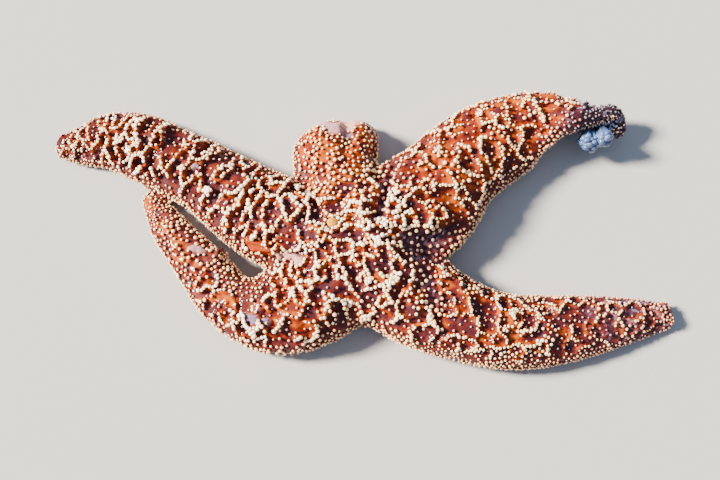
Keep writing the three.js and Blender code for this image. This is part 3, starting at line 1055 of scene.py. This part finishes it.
def clump_feet(key):
    """The tube feet that hang out of the raised tip in two drawn-in clumps."""
    limb = limbs[key]
    golden_angle = math.pi * (3 - math.sqrt(5))
    feet = []
    for clump in CLUMPS:
        i = int(round(clump["share"] * limb.length))
        base, up = limb.base[i], limb.up[i]
        heart = base - up * clump["drop"]
        count = int(1.1 * clump["radius"] ** 2)
        for n in range(count):
            level = 1 - 1.15 * (n + 0.5) / count
            turn = n * golden_angle
            ring = math.sqrt(1 - level ** 2)
            aside = math.cos(turn) * limb.across[i] + math.sin(turn) * limb.ahead[i]
            reach = clump["radius"] * random.uniform(0.8, 0.98)
            tip = heart + (ring * aside - level * up) * reach
            root = base + 0.45 * ring * reach * aside - up * 0.5
            feet.append((root, tip, random.uniform(1.7, 2.3), i))
    return sow_feet("clump_feet", DRAWN_IN, key, feet, 24, 0.15)


# ---------------------------------------------------------------- materials


def made_of(finish):
    """A material that is named for its finish, a function that gives the shader."""
    material = bpy.data.materials.new(finish.__name__)
    material.use_nodes = True
    tree = material.node_tree
    tree.nodes.clear()
    put(tree, "ShaderNodeOutputMaterial", {"Surface": finish(tree)})
    return material


def per(millimetres):
    """Scale of a texture whose features are that large."""
    return 1 / (millimetres * MM)


# Settings of a mix of two colours, which takes them at its inputs 6 and 7.
COLOURS = dict(data_type="RGBA", out=2)


def sea_star_skin(tree):
    """Wet living skin over chalky plates: orange on the ridges, dark red in the soft cells (partly
    painted shade), with painted shade on the darkened tips and hollows.
    """
    place = put(tree, "ShaderNodeTexCoord", out="Object")
    tone, back, fold, mauve, under, painted_shade = (
        put(tree, "ShaderNodeAttribute", attribute_name=name, out="Fac")
        for name in ("tone", "back", "fold", "mauve", "under", "painted_shade"))
    mottle = put(tree, "ShaderNodeTexNoise", {"Vector": place, "Scale": per(5), "Detail": 3})
    fine = put(tree, "ShaderNodeTexNoise", {"Vector": place, "Scale": per(1.4), "Detail": 3})
    streak = put(tree, "ShaderNodeTexNoise", {
        "Vector": place, "Scale": per(4), "Detail": 2, "Distortion": 1.5})
    # Soft cells are deep maroon, their sunken floors darkened partly as painted shade; the plates
    # under the ridges shine orange to peach through them.
    blotch = put(tree, "ShaderNodeMapRange", {
        "Value": mottle, "From Min": 0.36, "From Max": 0.62, "To Min": -0.42, "To Max": 0.3})
    mixed = put(tree, "ShaderNodeMath", {0: tone, 1: blotch}, operation="ADD")
    net = put(tree, "ShaderNodeValToRGB", {"Fac": mixed}, stops=[
        (0.0, "#3C141A"), (0.22, "#4C1512"), (0.46, "#601804"), (0.74, "#7E2C00"),
        (1.0, "#984400")])
    # The flanks are a darker plum: partly their own colour, partly painted shade.
    flank = put(tree, "ShaderNodeValToRGB", {"Fac": fine}, stops=[
        (0.3, "#3C1822"), (0.55, "#5A2018"), (0.72, "#7E3412")])
    sides = put(tree, "ShaderNodeMix", {"Factor": back, 6: flank, 7: net}, **COLOURS)
    # The underside is a pale ochre.
    ochre = linear("#C48E56")
    soles = put(tree, "ShaderNodeMix", {"Factor": under, 6: sides, 7: ochre}, **COLOURS)
    # Bare folds are orange to pinkish white; their mauve end is painted shade with painted bluish
    # glints.
    folds = put(tree, "ShaderNodeValToRGB", {"Fac": mauve}, stops=[
        (0.0, "#8C3200"), (0.5, "#C49488"), (1.0, "#5E5E80")])
    streaks = put(tree, "ShaderNodeMapRange", {
        "Value": fine, "From Min": 0.35, "From Max": 0.65, "To Min": 0.65, "To Max": 1.0})
    bare = put(tree, "ShaderNodeMath", {0: fold, 1: streaks}, operation="MULTIPLY")
    mended = put(tree, "ShaderNodeMix", {"Factor": bare, 6: soles, 7: folds}, **COLOURS)
    # Painted shade: the twisted tip of arm d, the end of arm e and the deepest hollows are painted
    # dark maroon with dull lilac streaks.
    dark = put(tree, "ShaderNodeValToRGB", {"Fac": streak}, stops=[
        (0.42, "#32161E"), (0.55, "#4A2A34"), (0.66, "#80748A")])
    colour = put(tree, "ShaderNodeMix", {"Factor": painted_shade, 6: mended, 7: dark}, **COLOURS)
    grain = put(tree, "ShaderNodeTexVoronoi", {"Vector": place, "Scale": per(0.8)})
    bump = put(tree, "ShaderNodeBump", {"Height": grain, "Strength": 0.5, "Distance": 0.25 * MM})
    gloss = put(tree, "ShaderNodeMapRange", {"Value": fine, "To Min": 0.45, "To Max": 0.7})
    return put(tree, "ShaderNodeBsdfPrincipled", {
        "Base Color": colour, "Roughness": gloss, "IOR": 1.4, "Specular IOR Level": 0.1,
        "Normal": bump, "Subsurface Weight": 0.15, "Subsurface Radius": (1.0, 0.35, 0.2),
        "Subsurface Scale": 1.5 * MM, "Coat Weight": 0.22, "Coat Roughness": 0.1})


def calcite_spines(tree):
    """Chalky calcite knobs in a thin skin: nearly white heads on orange feet."""
    place = put(tree, "ShaderNodeTexCoord", out="Object")
    rise, tint = (put(tree, "ShaderNodeAttribute", attribute_name=name, out="Fac")
                  for name in ("rise", "tint"))
    # Low tints are dull greyish heads: painted shade on the darkened tips and hollows, and partly
    # painted shade in the cells and on the flanks.
    heads = put(tree, "ShaderNodeValToRGB", {"Fac": tint}, stops=[
        (0.0, "#6C6672"), (0.12, "#9A827C"), (0.25, "#DEAA88"), (0.5, "#FFD694"),
        (0.8, "#FFEBC4"), (1.0, "#FFF5E2")])
    foot = put(tree, "ShaderNodeValToRGB", {"Fac": rise}, stops=[
        (0.15, "#641A04"), (0.6, "#B85418")])
    # Painted shade: the least tints stand on skin painted dark, and their feet are painted as dull
    # as it is.
    dull = put(tree, "ShaderNodeMapRange", {"Value": tint, "From Min": 0.06, "From Max": 0.16})
    feet = put(tree, "ShaderNodeMix", {"Factor": dull, 6: linear("#3C2C36"), 7: foot}, **COLOURS)
    share = put(tree, "ShaderNodeMapRange", {"Value": rise, "From Min": 0.35, "From Max": 0.9},
                interpolation_type="SMOOTHSTEP")
    colour = put(tree, "ShaderNodeMix", {"Factor": share, 6: feet, 7: heads}, **COLOURS)
    chalk = put(tree, "ShaderNodeTexNoise", {"Vector": place, "Scale": per(0.5), "Detail": 2})
    bump = put(tree, "ShaderNodeBump", {"Height": chalk, "Strength": 0.35, "Distance": 0.1 * MM})
    return put(tree, "ShaderNodeBsdfPrincipled", {
        "Base Color": colour, "Roughness": 0.5, "IOR": 1.5, "Normal": bump,
        "Coat Weight": 0.25, "Coat Roughness": 0.2})


def tube_foot_tissue(tree):
    """Tube feet: wet translucent tissue, cream in the groove; on the raised tip and in the clumps
    painted a dark blue-grey, which is painted shade.
    """
    rise, tint = (put(tree, "ShaderNodeAttribute", attribute_name=name, out="Fac")
                  for name in ("rise", "tint"))
    body = put(tree, "ShaderNodeValToRGB", {"Fac": tint}, stops=[
        (0.0, "#E2B98A"), (0.6, "#E6CFAE"), (0.85, "#3A5080"), (1.0, "#566E9C")])
    sucker = put(tree, "ShaderNodeValToRGB", {"Fac": rise}, stops=[
        (0.0, "#B98A62"), (0.75, "#FFFFFF"), (0.97, "#FFF3DE")])
    colour = put(tree, "ShaderNodeMix", {"Factor": 1.0, 6: body, 7: sucker}, **COLOURS,
                 blend_type="MULTIPLY")
    return put(tree, "ShaderNodeBsdfPrincipled", {
        "Base Color": colour, "Roughness": 0.35, "IOR": 1.38,
        "Subsurface Weight": 0.4, "Subsurface Radius": (1.0, 0.8, 0.7),
        "Subsurface Scale": 1.2 * MM, "Coat Weight": 0.4, "Coat Roughness": 0.1})


def mouth_membrane(tree):
    """The mouth's soft membrane: wet pale ochre, mottled with redder ochre."""
    place = put(tree, "ShaderNodeTexCoord", out="Object")
    grain = put(tree, "ShaderNodeTexNoise", {"Vector": place, "Scale": per(1.5), "Detail": 3})
    colour = put(tree, "ShaderNodeValToRGB", {"Fac": grain}, stops=[
        (0.3, "#B9713F"), (0.6, "#E0AE78")])
    bump = put(tree, "ShaderNodeBump", {"Height": grain, "Strength": 0.4, "Distance": 0.2 * MM})
    return put(tree, "ShaderNodeBsdfPrincipled", {
        "Base Color": colour, "Roughness": 0.4, "IOR": 1.4, "Normal": bump,
        "Coat Weight": 0.3, "Coat Roughness": 0.15})


def sieve_plate_calcite(tree):
    """The sieve plate's bare calcite: matt pale yellow and chalky, with darker pores that are
    painted shade.
    """
    place = put(tree, "ShaderNodeTexCoord", out="Object")
    pores = put(tree, "ShaderNodeTexVoronoi", {"Vector": place, "Scale": per(0.35)})
    colour = put(tree, "ShaderNodeValToRGB", {"Fac": pores}, stops=[
        (0.1, "#8C5202"), (0.5, "#C27A08")])
    return put(tree, "ShaderNodeBsdfPrincipled", {
        "Base Color": colour, "Roughness": 0.6, "IOR": 1.5})


# ---------------------------------------------------------------- camera, light and floor


def pale_floor(tree):
    """Plain matt card."""
    return put(tree, "ShaderNodeBsdfPrincipled", {"Base Color": linear("#A3A19D"),
                                                  "Roughness": 0.85})


def stage():
    """A plain pale floor, a low key light from the left, a soft fill, and the camera."""
    bm = bmesh.new()
    bmesh.ops.create_grid(bm, x_segments=1, y_segments=1, size=20)
    floor = add_bmesh("floor", bm)
    floor.data.materials.append(made_of(pale_floor))

    def lamp(name, kind, direction, energy, **settings):
        light = bpy.data.lights.new(name, kind)
        light.energy = energy
        for key, value in settings.items():
            setattr(light, key, value)
        thing = add_object(name, light)
        toward = Vector(direction).normalized()
        thing.location = toward * 1200 * MM
        thing.rotation_euler = toward.to_track_quat("Z", "Y").to_euler()

    lamp("key", "SUN", (-0.96, 0.13, 0.68), 26, angle=math.radians(12), color=(1, 0.93, 0.82))
    lamp("fill", "AREA", (0.5, -0.6, 1), 1, size=1.5, color=(0.75, 0.85, 1))
    world = bpy.data.worlds.new("studio")
    world.use_nodes = True
    background = world.node_tree.nodes["Background"].inputs
    background["Color"].default_value = linear("#B2C5E8")
    background["Strength"].default_value = 0.9
    bpy.context.scene.world = world

    camera = add_object("camera", bpy.data.cameras.new("camera"))
    camera.data.lens = 50
    camera.data.sensor_width = 36
    camera.data.clip_start = 0.01
    target = Vector((2, -7.8, 8)) * MM
    distance, elevation = 490 * MM, math.radians(72)
    back = Vector((0, -math.cos(elevation), math.sin(elevation)))
    camera.location = target + back * distance
    camera.rotation_euler = back.to_track_quat("Z", "Y").to_euler()
    bpy.context.scene.camera = camera


# ---------------------------------------------------------------- putting it together


def join_frame(piece, material, slot, *nodes):
    """Gives a piece its material, hangs it on the root and hides the nodes of the frame that it
    stands for, if any. The slot is not used."""
    piece.data.materials.append(material)
    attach(piece, "root")
    if nodes:
        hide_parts(*nodes)


stage()
skin, facts = make_skin()
join_frame(skin, made_of(sea_star_skin), "skin", *FLESH)
tissue = made_of(tube_foot_tissue)
for key in ARMS:
    join_frame(tube_feet(key), tissue, "tube_feet", f"tube_feet_{key}")
join_frame(clump_feet("d"), tissue, "tube_feet")
join_frame(mouth(), made_of(mouth_membrane), "mouth", "mouth")
join_frame(sieve_plate(), made_of(sieve_plate_calcite), "madreporite", "madreporite")

coat = sow_by_limb("spines", KNOB, *back_spines(skin.data, facts))
coat += sow_by_limb("fringe", BEAD, *edge_rows(skin.data, facts), lean=0.08)
coat += sow_by_limb("groove_spines", PEG, *groove_spines(), lean=0.06)
guards = mouth_spines()
coat.append(sow("mouth_spines", PEG, *guards, spots_of(guards[0])))
calcite = made_of(calcite_spines)
for piece in coat:
    join_frame(piece, calcite, "spines")
